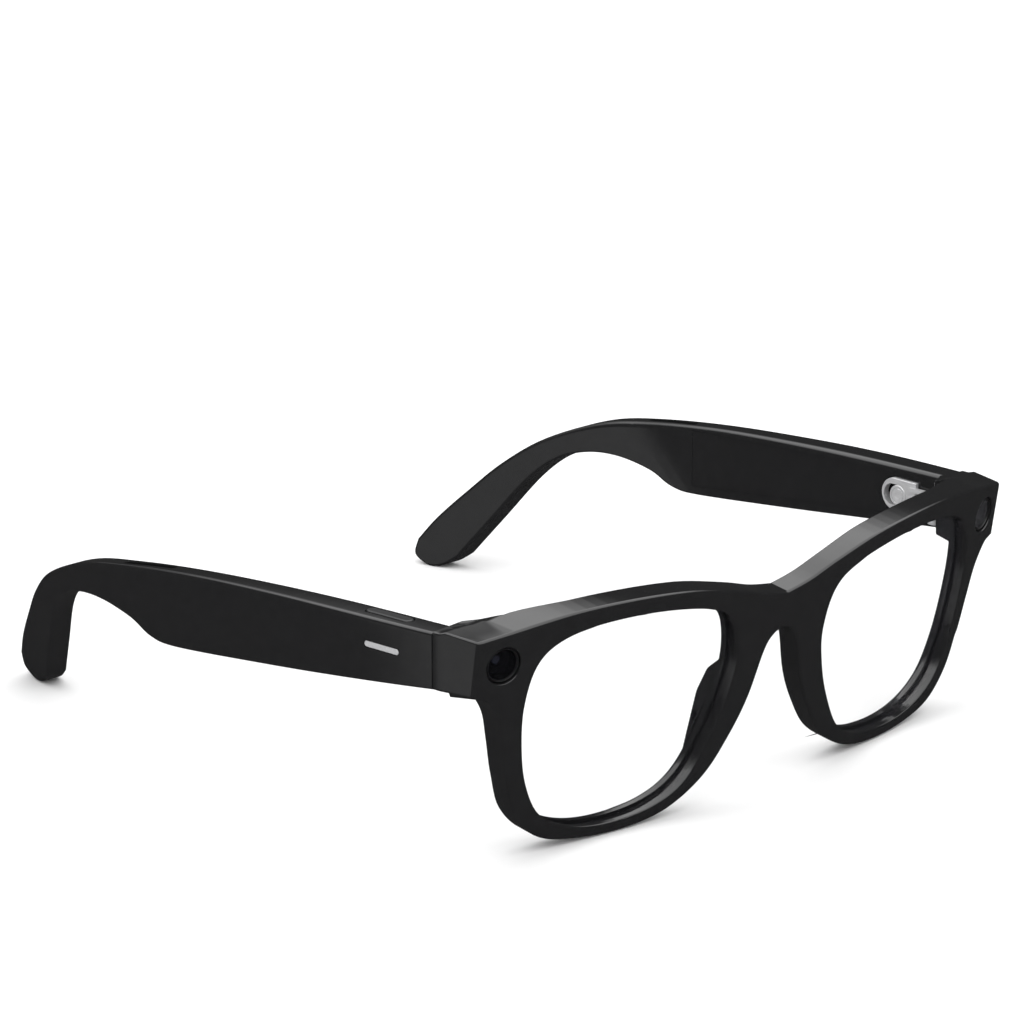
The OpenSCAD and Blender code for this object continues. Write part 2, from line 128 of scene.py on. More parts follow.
def smooth_line(points, steps=6, closed=False):
    """A smooth curve through a few points."""
    count = len(points)
    line = []
    for i in range(count if closed else count - 1):
        four = [points[(i + j) % count] if closed else points[min(max(i + j, 0), count - 1)] for j in range(-1, 3)]
        for k in range(steps):
            t = k / steps
            line.append(tuple(
                0.5 * (2 * b + (c - a) * t + (2 * a - 5 * b + 4 * c - d) * t * t + (3 * b - a - 3 * c + d) * t ** 3)
                for a, b, c, d in zip(*four)))
    return line if closed else line + [points[-1]]


def only(obj):
    """Makes obj the only selected object and the active one."""
    if bpy.context.object and bpy.context.object.mode != "OBJECT":
        bpy.ops.object.mode_set(mode="OBJECT")
    bpy.ops.object.select_all(action="DESELECT")
    obj.select_set(True)
    bpy.context.view_layer.objects.active = obj


def select_faces(obj, test):
    """Goes into edit mode with only the faces that pass the test selected."""
    only(obj)
    bpy.ops.object.mode_set(mode="EDIT")
    bpy.ops.mesh.select_mode(type="FACE")
    bpy.ops.mesh.select_all(action="DESELECT")
    mesh = bmesh.from_edit_mesh(obj.data)
    for face in mesh.faces:
        face.select_set(test(face))
    bmesh.update_edit_mesh(obj.data)


def out_of_edit():
    bpy.ops.object.mode_set(mode="OBJECT")


def cut(obj, point, normal, test=lambda face: True):
    """Adds edges where a plane crosses the faces that pass the test."""
    select_faces(obj, test)
    bpy.ops.mesh.bisect(plane_co=point, plane_no=normal, threshold=1e-4)
    out_of_edit()


def apply(obj, kind, **values):
    """Adds a modifier and applies it."""
    only(obj)
    modifier = obj.modifiers.new(kind.title(), kind)
    for name, value in values.items():
        setattr(modifier, name, value)
    bpy.ops.object.modifier_apply(modifier=modifier.name)


def filled(name, loops):
    """A flat face cut to the loops, standing in the plane y = 0."""
    curve = bpy.data.curves.new(name, "CURVE")
    curve.dimensions = "2D"
    curve.fill_mode = "BOTH"
    for loop in loops:
        spline = curve.splines.new("POLY")
        spline.points.add(len(loop) - 1)
        for point, (across, up) in zip(spline.points, loop):
            point.co = (across, up, 0, 1)
        spline.use_cyclic_u = True
    obj = bpy.data.objects.new(name, curve)
    bpy.context.collection.objects.link(obj)
    only(obj)
    bpy.ops.object.convert(target="MESH")
    obj = bpy.context.object
    obj.data.transform(Matrix.Rotation(math.pi / 2, 4, "X"))
    bpy.ops.object.mode_set(mode="EDIT")
    bpy.ops.mesh.select_all(action="SELECT")
    bpy.ops.mesh.remove_doubles(threshold=1e-4)
    out_of_edit()
    return obj


def merge_fill(obj, region=lambda middle: 0):
    """Joins the fill's loose triangles into one face for each region."""
    for key in sorted({region(face.center) for face in obj.data.polygons}):
        select_faces(obj, lambda f: region(f.calc_center_median()) == key)
        bpy.ops.mesh.dissolve_faces(use_verts=False)
        out_of_edit()
    only(obj)
    bpy.ops.object.mode_set(mode="EDIT")
    bpy.ops.mesh.select_mode(type="VERT")
    bpy.ops.mesh.select_all(action="DESELECT")
    mesh = bmesh.from_edit_mesh(obj.data)
    for corner in mesh.verts:
        corner.select_set(len(corner.link_edges) == 2 and not corner.is_boundary)
    bmesh.update_edit_mesh(obj.data)
    bpy.ops.mesh.dissolve_verts()
    bpy.ops.mesh.select_all(action="SELECT")
    bpy.ops.mesh.normals_make_consistent(inside=False)
    out_of_edit()


def thicken(obj, depth):
    """Gives a flat face a depth, from y = 0 to y = depth."""
    apply(obj, "SOLIDIFY", thickness=depth, offset=-1)
    low = min(v.co.y for v in obj.data.vertices)
    obj.data.transform(Matrix.Translation((0, -low, 0)))
    recalculate(obj)


def recalculate(obj):
    select_faces(obj, lambda face: True)
    bpy.ops.mesh.normals_make_consistent(inside=False)
    out_of_edit()


def round_edges(obj, weigh, width, segments=4, profile=0.5):
    """Bevels each edge by its own share of width. weigh gives the share from the edge's ends and turn."""
    mesh = bmesh.new()
    mesh.from_mesh(obj.data)
    layer = mesh.edges.layers.float.get("bevel_weight_edge") or mesh.edges.layers.float.new("bevel_weight_edge")
    for edge in mesh.edges:
        if len(edge.link_faces) == 2:
            edge[layer] = weigh(edge, edge.calc_face_angle(0))
    mesh.to_mesh(obj.data)
    mesh.free()
    apply(obj, "BEVEL", width=width, segments=segments, profile=profile, limit_method="WEIGHT",
          offset_type="OFFSET", use_clamp_overlap=False, miter_outer="MITER_SHARP", loop_slide=True)


def corners_alike(edge, angle):
    """A share for round_edges: every real corner is rounded alike."""
    return 1.0 if angle > 1 else 0


# Pieces are cut into strips before they are bowed: the width of one, and how many on each side of the middle.
STRIP, STRIPS = 2.45, 29


def cut_strips(obj, shift):
    """Cuts a piece into upright strips. The shift keeps its cuts off those of other pieces."""
    for i in range(-STRIPS, STRIPS + 1):
        cut(obj, (i * STRIP + shift, 0, 0), (1, 0, 0))


def ease(value, low, high):
    """0 below low and 1 above high, with a smooth run between."""
    t = min(max((value - low) / (high - low), 0), 1)
    return t * t * (3 - 2 * t)


def reshape(obj, place):
    """Moves every corner to where place says."""
    for vertex in obj.data.vertices:
        vertex.co = place(vertex.co)
    obj.data.update()


def joined(objects):
    only(objects[0])
    if len(objects) == 1:
        return objects[0]
    for obj in objects:
        obj.select_set(True)
    bpy.ops.object.join()
    return bpy.context.object


def block(size, matrix):
    """A box cutter with one corner at the origin of matrix."""
    bpy.ops.mesh.primitive_cube_add(size=1)
    obj = bpy.context.object
    obj.data.transform(matrix @ Matrix.Diagonal((*size, 1)) @ Matrix.Translation((0.5, 0.5, 0.5)))
    return obj


def rod(radius, low, high, matrix, sides=64):
    """A round cutter along the z axis of matrix."""
    bpy.ops.mesh.primitive_cylinder_add(vertices=sides, radius=radius, depth=high - low)
    obj = bpy.context.object
    obj.data.transform(matrix @ Matrix.Translation((0, 0, (low + high) / 2)))
    return obj


def stadium(length, width, steps=12):
    """A slot's outline, long in the up direction."""
    line = []
    for side in (1, -1):
        for k in range(steps + 1):
            a = math.pi * k / steps
            line.append((side * width / 2 * math.cos(a), side * ((length - width) / 2 + width / 2 * math.sin(a))))
    return line


def carve(obj, cutters):
    """Takes the cutters out of obj and removes them."""
    tool = joined(cutters)
    recalculate(tool)
    apply(obj, "BOOLEAN", operation="DIFFERENCE", object=tool, solver="EXACT")
    bpy.data.objects.remove(tool)


def flip_side(obj):
    """Turns a left-hand piece into a right-hand one."""
    obj.data.transform(Matrix.Diagonal((-1, 1, 1, 1)))
    obj.data.flip_normals()


def polish(obj, angle=35):
    """Smooth shading that keeps flat faces flat."""
    only(obj)
    bpy.ops.object.shade_smooth_by_angle(angle=math.radians(angle))
    apply(obj, "WEIGHTED_NORMAL", mode="FACE_AREA", weight=50, keep_sharp=True)


def settle(obj, name, body, slot, material, nodes=(), in_mm=True, angle=35):
    """Names a finished piece, gives it its size in metres, and ties it to the frame."""
    if in_mm:
        obj.data.transform(Matrix.Scale(MM, 4))
    obj.name = name
    obj.data.name = name
    obj.data.materials.clear()
    obj.data.materials.append(material)
    polish(obj, angle)
    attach(obj, body)
    if nodes:
        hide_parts(*nodes)
    return obj


def turned(profile, matrix, steps=64):
    """Spins a profile of (radius, height) points round the z axis of matrix."""
    bpy.ops.mesh.primitive_plane_add(size=1)
    obj = bpy.context.object
    mesh = bmesh.new()
    corners = [mesh.verts.new((radius, 0, height)) for radius, height in profile]
    for a, b in zip(corners, corners[1:]):
        mesh.edges.new((a, b))
    mesh.to_mesh(obj.data)
    mesh.free()
    only(obj)
    bpy.ops.object.mode_set(mode="EDIT")
    bpy.ops.mesh.select_all(action="SELECT")
    bpy.ops.mesh.spin(steps=steps, angle=2 * math.pi, center=(0, 0, 0), axis=(0, 0, 1))
    bpy.ops.mesh.select_all(action="SELECT")
    bpy.ops.mesh.remove_doubles(threshold=1e-4)
    bpy.ops.mesh.normals_make_consistent(inside=False)
    out_of_edit()
    obj.data.transform(matrix)
    return obj


def softened(node, width, segments=2):
    """A copy of a CAD node, merged, with its edges rounded, in millimetres."""
    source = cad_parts[node]
    obj = bpy.data.objects.new(node + "_soft", source.data.copy())
    bpy.context.collection.objects.link(obj)
    obj.data.transform(Matrix.Scale(1 / MM, 4))
    only(obj)
    bpy.ops.object.mode_set(mode="EDIT")
    bpy.ops.mesh.select_all(action="SELECT")
    bpy.ops.mesh.remove_doubles(threshold=1e-3)
    bpy.ops.mesh.dissolve_limited(angle_limit=math.radians(1))
    out_of_edit()
    apply(obj, "BEVEL", width=width, segments=segments, limit_method="ANGLE", angle_limit=math.radians(40))
    return obj


# ---------------------------------------------------------------- places

def front_frame_matrix():
    """The leaning frame of the front: x across, y back, z up."""
    s = shape()
    return Matrix.Translation((0, -s.front_offset, s.lens_height)) @ Matrix.Rotation(s.tilt, 4, "X")


def bow(x):
    radius = shape().bow_radius
    return radius - math.sqrt(radius * radius - x * x)


def window_matrix():
    """A window's own frame on the left: z points out of the bowed face."""
    s = shape()
    turn = math.asin(s.window_out / s.bow_radius)
    place = Matrix.Translation((s.window_out, bow(s.window_out), s.window_up))
    return front_frame_matrix() @ place @ Matrix.Rotation(turn, 4, "Z") @ Matrix.Rotation(math.pi / 2, 4, "X")


def pin_matrix():
    s = shape()
    return Matrix.Translation((
        s.seam_out - s.temple_thickness - 1.6, s.seam_back + 0.2 - s.front_offset, s.hinge_height))


def temple_matrix():
    """Along the inner face of the left temple, from the seam: x outwards, y back."""
    s = shape()
    start = Matrix.Translation((s.seam_out - s.temple_thickness, s.seam_back - s.front_offset, 0))
    return start @ Matrix.Rotation(-s.inner_slope, 4, "Z")


def button_matrix():
    return temple_matrix() @ Matrix.Translation((3.1, 13.2, 42.95)) @ Matrix.Rotation(math.radians(-0.9), 4, "X")


def switch_matrix():
    place = Matrix.Translation((-0.8, 11.1, shape().hinge_height - 0.1))
    return temple_matrix() @ place @ Matrix.Rotation(-math.pi / 2, 4, "Y")


# The outer face curves out from the seam until here, and is straight behind.
FLARE_END = 50


def outer_face(y, z):
    """How far out the temple's outer face is, y behind the front and z up."""
    s = shape()
    out = s.side_out
    if y < FLARE_END:
        # 1.5 * 726 is the square of the distance from there to the seam, where the face is seam_out wide.
        out -= (FLARE_END - y) ** 2 / 726 * (s.side_out - s.seam_out) / 1.5
    return out - hook_drop(y, z, s.hook_radius)


def hook_drop(y, z, radius):
    """How far inwards the ear hook has leaned at a point."""
    s = shape()
    along = y * math.cos(s.hook_direction) - z * math.sin(s.hook_direction) - s.hook_start
    reach = radius * math.sin(s.hook_lean)
    if along <= 0:
        return 0
    if along < reach:
        return radius - math.sqrt(radius * radius - along * along)
    return radius * (1 - math.cos(s.hook_lean)) + (along - reach) * math.tan(s.hook_lean)


def inner_face(y, z):
    """How far out the temple's inner face is."""
    s = shape()
    straight = s.seam_out - s.temple_thickness + (y - s.seam_back) * math.tan(s.inner_slope)
    lean = hook_drop(y, z, s.hook_radius - s.hook_thickness)
    gap = straight - (s.side_out - s.hook_thickness)
    return straight - 0.5 * (gap + math.sqrt(gap * gap + 0.04)) - lean


# ---------------------------------------------------------------- finishes

def finish(name, colour, roughness, grain=1800, bump=0.1, stretch=(1, 1, 1), tones=0.18, **sockets):
    """A surface whose colour and roughness drift a little, with a fine grain in relief."""
    made = bpy.data.materials.get(name)
    if made:
        return made
    material = bpy.data.materials.new(name)
    material.use_nodes = True
    nodes, links = material.node_tree.nodes, material.node_tree.links
    surface = nodes["Principled BSDF"]
    place = nodes.new("ShaderNodeTexCoord")
    turn = nodes.new("ShaderNodeMapping")
    turn.inputs["Scale"].default_value = stretch
    links.new(place.outputs["Object"], turn.inputs["Vector"])
    drift = nodes.new("ShaderNodeTexNoise")
    drift.inputs["Scale"].default_value = 70
    drift.inputs["Detail"].default_value = 4
    fine = nodes.new("ShaderNodeTexNoise")
    fine.inputs["Scale"].default_value = grain
    fine.inputs["Detail"].default_value = 3
    for texture in (drift, fine):
        links.new(turn.outputs["Vector"], texture.inputs["Vector"])
    spread = nodes.new("ShaderNodeMapRange")
    spread.inputs["From Min"].default_value = 0.3
    spread.inputs["From Max"].default_value = 0.7
    spread.inputs["To Min"].default_value, spread.inputs["To Max"].default_value = roughness
    links.new(drift.outputs["Fac"], spread.inputs["Value"])
    links.new(spread.outputs["Result"], surface.inputs["Roughness"])
    tone = nodes.new("ShaderNodeValToRGB")
    tone.color_ramp.elements[0].color = (*[(1 - tones) * c for c in colour], 1)
    tone.color_ramp.elements[1].color = (*[min(1, (1 + tones) * c) for c in colour], 1)
    links.new(fine.outputs["Fac"], tone.inputs["Fac"])
    links.new(tone.outputs["Color"], surface.inputs["Base Color"])
    relief = nodes.new("ShaderNodeBump")
    relief.inputs["Strength"].default_value = bump
    relief.inputs["Distance"].default_value = 0.00002
    links.new(fine.outputs["Fac"], relief.inputs["Height"])
    links.new(relief.outputs["Normal"], surface.inputs["Normal"])
    for socket, value in sockets.items():
        surface.inputs[socket.replace("_", " ").title().replace("Ior", "IOR")].default_value = value
    return material


def shell_finish():
    return finish("polished_black", colours().shell, (0.07, 0.11), grain=420, bump=0.04)


def satin_finish():
    return finish("satin_black", (0.012, 0.012, 0.013), (0.3, 0.42), grain=9000, bump=0.35)


def metal_finish():
    return finish("brushed_steel", colours().metal, (0.34, 0.46), grain=1500, bump=0.12, stretch=(1, 1, 9),
                  metallic=0.55)


def trim_finish():
    return finish("bright_steel", (0.7, 0.7, 0.71), (0.3, 0.4), grain=2600, bump=0.05, metallic=0.5)


def gold_finish():
    return finish("gold_plate", (0.83, 0.6, 0.27), (0.16, 0.26), bump=0.06, metallic=1.0)


def board_finish():
    return finish("green_board", (0.03, 0.11, 0.06), (0.3, 0.45), grain=2200, bump=0.5)


def foil_finish():
    return finish("battery_wrap", (0.4, 0.41, 0.43), (0.25, 0.4), grain=700, bump=0.4, metallic=0.8)


def coated_painted_glint_finish():
    """The camera's lens: near black, with a painted glint at its middle: a pale pool of light painted into the base
    colour.
    """
    material = finish("lens_coating_painted_glint", (0.01, 0.012, 0.02), (0.04, 0.08), grain=300, bump=0.01, coat_weight=1.0,
                      coat_tint=(0.7, 0.75, 1, 1))
    nodes, links = material.node_tree.nodes, material.node_tree.links
    middle = window_matrix() @ Vector((0, 0, -2.8)) * MM
    place = nodes.new("ShaderNodeTexCoord")
    away = nodes.new("ShaderNodeVectorMath")
    away.operation = "DISTANCE"
    away.inputs[1].default_value = (-middle.x, middle.y, middle.z)
    links.new(place.outputs["Object"], away.inputs[0])
    # Painted glint: the base colour turns pale towards the lens's middle and fades out 1.1 mm from it.
    painted_glint = nodes.new("ShaderNodeMapRange")
    painted_glint.interpolation_type = "SMOOTHSTEP"
    painted_glint.inputs["From Min"].default_value, painted_glint.inputs["From Max"].default_value = 0.0005, 0.0011
    painted_glint.inputs["To Min"].default_value, painted_glint.inputs["To Max"].default_value = 1.0, 0.0
    links.new(away.outputs["Value"], painted_glint.inputs["Value"])
    blend = nodes.new("ShaderNodeMix")
    blend.data_type = "RGBA"
    surface = nodes["Principled BSDF"]
    links.new(surface.inputs["Base Color"].links[0].from_socket, blend.inputs[6])
    links.new(painted_glint.outputs["Result"], blend.inputs[0])
    # The pale colour of the painted glint.
    blend.inputs[7].default_value = (0.6, 0.6, 0.62, 1)
    links.new(blend.outputs[2], surface.inputs["Base Color"])
    return material


def see_through(name, colour, alpha_facing, alpha_edge, roughness=0.02):
    """Clear plastic or glass that thickens in tone at a glancing angle, with faint haze."""
    made = bpy.data.materials.get(name)
    if made:
        return made
    material = finish(name, colour, (roughness, roughness * 2.5), grain=240, bump=0.01, ior=1.52)
    nodes, links = material.node_tree.nodes, material.node_tree.links
    surface = nodes["Principled BSDF"]
    weight = nodes.new("ShaderNodeLayerWeight")
    weight.inputs["Blend"].default_value = 0.35
    spread = nodes.new("ShaderNodeMapRange")
    spread.inputs["From Min"].default_value = 0.35
    spread.inputs["To Min"].default_value, spread.inputs["To Max"].default_value = alpha_facing, alpha_edge
    links.new(weight.outputs["Facing"], spread.inputs["Value"])
    links.new(spread.outputs["Result"], surface.inputs["Alpha"])
    return material


# ---------------------------------------------------------------- the front

def front_outline():
    half = smooth_line(BROW)[:-1] + smooth_line(RIM)
    return half + [(-x, up) for x, up in reversed(half)][1:-1]


def lens_outline(grow=0.0, side=1):
    scale = (24.5 + grow) / 24.5
    middle = shape().lens_middle
    return smooth_line([(side * (middle + scale * x), scale * up) for x, up in LENS], closed=True)


# The end pieces: where they begin across, where below, a height between their upper and lower corners,
# and how far out their lower inner corner stands.
END_FROM, END_LOW, END_MIDDLE, END_CLEAR = 61.0, 5.3, 8, 62.2


def line_height(points, x):
    """Height of an outline at x."""
    for (x0, h0), (x1, h1) in zip(points, points[1:]):
        if x0 <= x <= x1:
            return h0 + (h1 - h0) * (x - x0) / (x1 - x0)
    return points[-1][1] if x > points[-1][0] else points[0][1]


def end_top(x):
    """Height of the top of an end piece above the ground."""
    return line_height(smooth_line([(48, 47.6), (56, 46.4), (61, 45.5), (65, 44.5), (72, 43.8), (80, 43.7)]), x)


def bowed(point):
    """From the flat front to where it really is."""
    return front_frame_matrix() @ Vector((point[0], point[1] + bow(point[0]), point[2]))


def unbowed(point):
    flat = front_frame_matrix().inverted() @ Vector(point)
    return Vector((flat.x, flat.y - bow(flat.x), flat.z))


def push_back(obj, depth_now, xs, y_back, inner_drop):
    """Extrudes the rear of both end pieces to y_back, spread between the two xs. The inner top corner drops."""
    select_faces(obj, lambda f: f.normal.y > 0.5 and abs(f.calc_center_median().x) > END_FROM - 0.01
                 and f.calc_center_median().z > END_LOW and f.calc_center_median().y > depth_now - 0.01)
    bpy.ops.mesh.extrude_region_move(TRANSFORM_OT_translate={"value": (0, 0.5, 0)})
    mesh = bmesh.from_edit_mesh(obj.data)
    corners = {v for f in mesh.faces if f.select for v in f.verts}
    outer = max(abs(v.co.x) for v in corners)
    inner = min(abs(v.co.x) for v in corners)
    rim = outer - 1
    for v in corners:
        side = math.copysign(1, v.co.x)
        share = 1 if abs(v.co.x) > rim else (abs(v.co.x) - inner) / (outer - inner)
        # Below, the inner side stands further out, clear of the lens opening.
        near = xs[0] if v.co.z > END_MIDDLE else max(xs[0], END_CLEAR)
        x = near + share * (xs[1] - near)
        upper = end_top(x) - inner_drop * (1 - share) ** 2
        height = upper if v.co.z > END_MIDDLE else shape().end_underside
        flat = unbowed((x, y_back - shape().front_offset, height))
        v.co = Vector((side * flat.x, flat.y, flat.z))
    bmesh.update_edit_mesh(obj.data)
    out_of_edit()


def front_slab():
    s = shape()
    obj = filled("front", [front_outline(), lens_outline(), lens_outline(side=-1)])
    seams = [0, s.lens_middle, -s.lens_middle, END_FROM, -END_FROM]
    for x in seams:
        cut(obj, (x, 0, 0), (1, 0, 0))
    cut(obj, (0, 0, END_LOW), (0, 0, 1), lambda f: abs(f.calc_center_median().x) > END_FROM)

    merge_fill(obj, lambda m: (sum(m.x > x for x in seams), abs(m.x) > END_FROM and m.z > END_LOW))
    thicken(obj, s.front_depth)
    # The rear top edge is lowered where the end pieces level off.
    for v in obj.data.vertices:
        if v.co.y > 1 and v.co.z > (14 if abs(v.co.x) > 16 else 12):
            world = bowed(v.co)
            if abs(world.x) > 48 and world.z > end_top(abs(world.x)):
                v.co.z -= (world.z - end_top(abs(world.x))) / math.cos(s.tilt)
            # The brow deepens towards the end pieces.
            v.co.y += 0.5 * ease(abs(v.co.x), 10, 25) + 1.7 * ease(abs(v.co.x), 48, 62)
        elif v.co.y > 1 and abs(v.co.x) > END_FROM - 0.1 and 4 < v.co.z < END_LOW + 0.1:
            v.co.z -= 0.8 * (v.co.z - 4) / (END_LOW - 4)
        # Their sides turn from the narrower face to the temple's width.
        if v.co.y > 1 and abs(v.co.x) > 70:
            v.co.x = math.copysign(72.1 if v.co.z > END_MIDDLE else 71.7, v.co.x)
    push_back(obj, s.front_depth, (61.2, s.seam_out - 0.05), 15.3, 1.3)
    push_back(obj, s.front_depth + 0.5, (s.seam_out - 7.4, s.seam_out), s.seam_back - 0.15, 0.3)
    recalculate(obj)
    return obj


def soften_front(obj):
    """Rounds the outer edges widely, the front of the lens openings finely and the seam hardly at all."""
    s = shape()
    opening = [p for side in (1, -1) for p in lens_outline(side=side)]

    def weigh(edge, angle):
        middle = (edge.verts[0].co + edge.verts[1].co) / 2
        if angle < math.radians(20):
            return 0
        if bowed(middle).y + s.front_offset > s.seam_back - 0.6:
            return 0.1
        if any(math.hypot(middle.x - x, middle.z - z) < 0.9 for x, z in opening):
            return 0.22 if middle.y < 3 else 0.8
        if abs(middle.x) > 70.4 and middle.y > 0.05:
            return 0.4
        if abs(middle.x) > 61.2 and middle.z < 6:
            return 0.2
        return 0.6 if middle.y < 0.1 else 0.3

    round_edges(obj, weigh, 1.25, segments=4)


def place_front(obj):
    """Cuts the flat front into strips and bows it."""
    cut_strips(obj, 0.013)
    reshape(obj, bowed)
    recalculate(obj)


def knuckle_recess():
    """The round hollow that a hinge's knuckles turn in."""
    return rod(2.0, -3.55, 3.55, pin_matrix(), 48)


def make_frame():
    s = shape()
    obj = front_slab()
    soften_front(obj)
    place_front(obj)
    cutters = []
    for side in (1, -1):
        groove = filled("groove", [lens_outline(0.8, side)])
        merge_fill(groove)
        thicken(groove, s.lens_thickness + 0.04)
        groove.data.transform(Matrix.Translation((0, 1.08, 0)))
        cut_strips(groove, 0.4)
        reshape(groove, bowed)
        bore = turned([(0, -6.7), (3.5, -6.7), (3.5, -0.24), (3.54, -0.1), (3.66, 0.06), (3.66, 1), (0, 1)],
                      window_matrix())
        recess = knuckle_recess()
        leaf = block((4.64, 1.24, 6.54), pin_matrix() @ Matrix.Translation((1.93, -1.62, -3.27)))
        web = block((2.2, 1.24, 6.5), pin_matrix() @ Matrix.Translation((0, -1.62, -3.25)))
        for cutter in (bore, recess, leaf, web):
            if side < 0:
                flip_side(cutter)
        cutters += [groove, bore, recess, leaf, web]
    cutters.append(block((7.2, 2.4, 4.6), front_frame_matrix() @ Matrix.Translation((-3.6, 1.5, 3))))
    for cutter in cutters:
        carve(obj, [cutter])
    settle(obj, "frame_front", "front", "gloss_black", shell_finish(), ["front_frame"], angle=32)


def make_lens(side):
    s = shape()
    sign = 1 if side == "left" else -1
    obj = filled("lens", [lens_outline(0.74, sign)])
    merge_fill(obj)
    thicken(obj, s.lens_thickness)
    obj.data.transform(Matrix.Translation((0, 1.1, 0)))
    round_edges(obj, corners_alike, 0.3, segments=3)
    cut_strips(obj, 0.7)
    reshape(obj, bowed)
    recalculate(obj)
    clear = see_through("lens_plastic", colours().lens, 0.012, 0.16)
    settle(obj, side + "_clear_lens", "front", "clear_lens", clear, [side + "_lens"])


def make_pad(side):
    """A nose pad: the rough wedge is melted into one soft form and pressed into the rim."""
    obj = softened(side + "_nose_pad", 0.05, 1)
    obj.data.transform(Matrix.Translation((0, -0.25, 0.0)))
    apply(obj, "REMESH", mode="VOXEL", voxel_size=0.22)
    apply(obj, "SMOOTH", factor=0.5, iterations=9)
    settle(obj, side + "_pad", "front", "gloss_black", shell_finish(), [side + "_nose_pad"], angle=60)


# ---------------------------------------------------------------- the temples

# Cuts across the ear hook, so that it can bend: how many, and how far apart.
HOOK_CUTS, HOOK_STEP = 13, 2.68


def make_temple(side):
    s = shape()
    outline = smooth_line(TOP)[:-1] + smooth_line(TIP)[:-1] + smooth_line(LOW)
    obj = filled("temple", [outline])
    merge_fill(obj)
    thicken(obj, 1)
    # The outline was drawn across and up: turn it to run back, with its thickness outwards.
    obj.data.transform(Matrix(((0, 6, 0, 0), (1, 0, 0, 0), (0, 0, 1, 0), (0, 0, 0, 1))))
    recalculate(obj)
    top = smooth_line(TOP)

    def weigh(edge, angle):
        a, b = (v.co for v in edge.verts)
        middle = (a + b) / 2
        if angle < math.radians(25):
            return 0
        if middle.y < 17.2 or abs(a.x - b.x) > 1:
            return 0.12
        on_top = middle.y > 150 or abs(middle.z - line_height(top, middle.y)) < 0.4
        near = (0.9 if middle.x < 3 else 0.55) if on_top else 0.26
        toward_tip = ease(middle.y, 100, 130)
        return near + (0.5 - near) * toward_tip

    round_edges(obj, weigh, 1.5, segments=5)
    for y in range(20, 52, 4):
        cut(obj, (0, y + 0.03, 0), (0, 1, 0))
    cut(obj, (0, 80.6, 0), (0, 1, 0))
    direction = Vector((0, math.cos(s.hook_direction), -math.sin(s.hook_direction)))
    for i in range(HOOK_CUTS):
        cut(obj, direction * (s.hook_start + i * HOOK_STEP), direction)

    def place(point):
        low, high = inner_face(point.y, point.z), outer_face(point.y, point.z)
        return Vector((low + (high - low) * point.x / 6, point.y - s.front_offset, point.z))

    reshape(obj, place)
    recalculate(obj)
    cutters = [
        knuckle_recess(),
        vent_cutter(1.5, 14, 1.6),
        cover_block(0.0, -1.0, 1.0),
        hinge_plate(0.03, 1.43),
        badge_bar(0.55 + 0.03, 0.33, 3.63),
    ]
    if side == "right":
        slot = filled("slot", [stadium(11.4, 2.8)])
        thicken(slot, 3)
        slot.data.transform(button_matrix() @ Matrix.Translation((0, 0, 1.6)) @ LAID)
        cutters.append(slot)
    else:
        well = filled("well", [stadium(6.8 + 1.6, 6.8)])
        thicken(well, 3)
        well.data.transform(switch_matrix() @ Matrix.Translation((0, 0.8, 0.4)) @ LAID)
        cutters.append(well)
    for cutter in cutters:
        carve(obj, [cutter])
    if side == "right":
        flip_side(obj)
    settle(obj, side + "_temple_shell_skin", side + "_temple", "gloss_black", shell_finish(),
           [side + "_temple_shell"], angle=32)


def vent_matrix(raised):
    """The vent's own frame, sloping with the temple's top: y runs back, and z points out of the top."""
    s = shape()
    top = smooth_line(TOP)
    y0, y1 = 70 + s.seam_back, 84 + s.seam_back
    z0, z1 = line_height(top, y0), line_height(top, y1)
    place = temple_matrix() @ Matrix.Translation((2.05, 77, (z0 + z1) / 2 + raised))
    return place @ Matrix.Rotation(math.atan2(z1 - z0, y1 - y0), 4, "X")


def vent_cutter(width, length, depth):
    """The vent's slot, with round ends, following the slope of the top."""
    obj = filled("vent", [stadium(length, width)])
    thicken(obj, depth + 2)
    obj.data.transform(vent_matrix(2) @ LAID)
    recalculate(obj)
    return obj


def cover_block(inset, low, high):
    """The panel let into the inner face, as a slab between two depths."""
    y0, y1 = 15.85 + inset, 68.95 - inset
    corners = [(y0, 34.82 - y0 * 0.112 + inset), (y1, 34.82 - y1 * 0.112 + inset),
               (y1, 42.0 - y1 * 0.043 - inset), (y0, 42.4 - y0 * 0.043 - inset)]
    obj = filled("cover", [corners])
    merge_fill(obj)
    thicken(obj, high - low)
    obj.data.transform(temple_matrix() @ Matrix.Translation((low, 0, 0)) @ ACROSS)
    recalculate(obj)
    return obj


# Turns a shape drawn across and up, with its depth in y, to run back along the temple.
ACROSS = Matrix(((0, 1, 0, 0), (1, 0, 0, 0), (0, 0, 1, 0), (0, 0, 0, 1)))
# Lays an upright shape down, its depth going down.
LAID = Matrix.Rotation(-math.pi / 2, 4, "X")


# A hinge's leaves: their height, and the knuckles of both that share the pin.
LEAF_HEIGHT, KNUCKLES = 6.5, 7


def d_shape(grow, height=LEAF_HEIGHT, front=6.5, middle=12.2, steps=20):
    """The hinge plate's outline: square at the front and round at the rear."""
    radius = height / 2 + grow
    line = [(front - grow, radius), (front - grow, -radius)]
    for k in range(steps + 1):
        a = -math.pi / 2 + math.pi * k / steps
        line.append((middle + radius * math.cos(a), radius * math.sin(a)))
    return line


def hinge_plate(grow, thickness):
    s = shape()
    obj = filled("plate", [[(y, z + s.hinge_height) for y, z in d_shape(grow)]])
    merge_fill(obj)
    thicken(obj, thickness)
    obj.data.transform(temple_matrix() @ Matrix.Translation((-0.8, 0, 0)) @ ACROSS)
    recalculate(obj)
    return obj


def badge_matrix():
    s = shape()
    return Matrix.Translation((s.seam_out + 0.42, s.seam_back + 12 - s.front_offset, 38.2)) @ Matrix.Rotation(
        math.radians(-3), 4, "Z")


